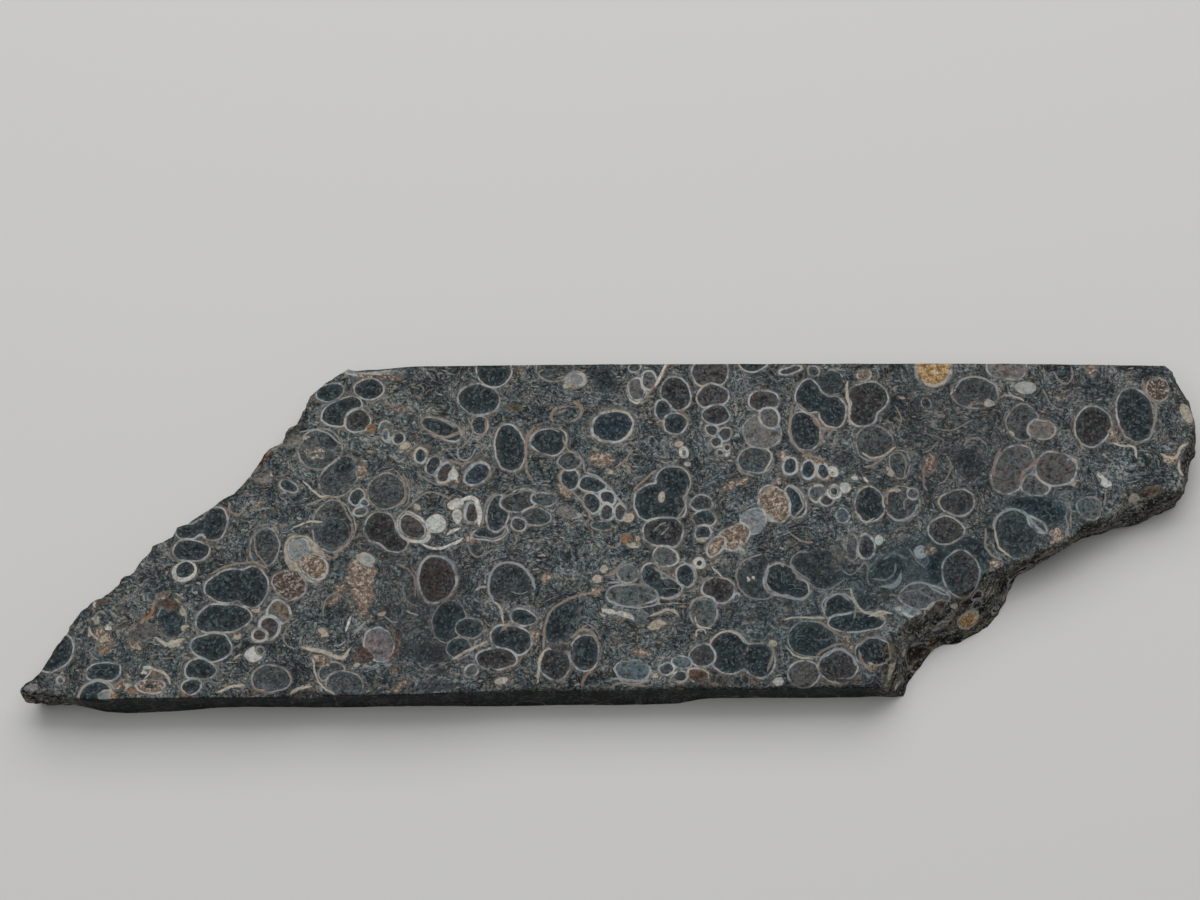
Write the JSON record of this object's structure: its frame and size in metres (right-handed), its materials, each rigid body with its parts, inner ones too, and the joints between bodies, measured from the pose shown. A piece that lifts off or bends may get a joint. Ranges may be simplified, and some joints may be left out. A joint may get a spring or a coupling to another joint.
{
  "type": "turritella fossil slab",
  "caption": "Flat sawn slice of dark stone packed with cut fossil snail shells, with a smooth face and broken ends.",
  "frame": {"origin": "middle of the slab's footprint, on the surface that its sawn back lies on", "axes": "+X along the slab's length, +Y across the face towards the straight rear saw cut, +Z out of the shell-bearing face"},
  "size_m": [0.191, 0.0584, 0.008],
  "materials": {
    "fossil_stone": "satin sawn and lapped stone: blue-grey chalcedony chambers, pale shell walls, grey-brown speckled matrix"
  },
  "bodies": {
    "root": {"slab": "fossil_stone"}
  },
  "joints": []
}
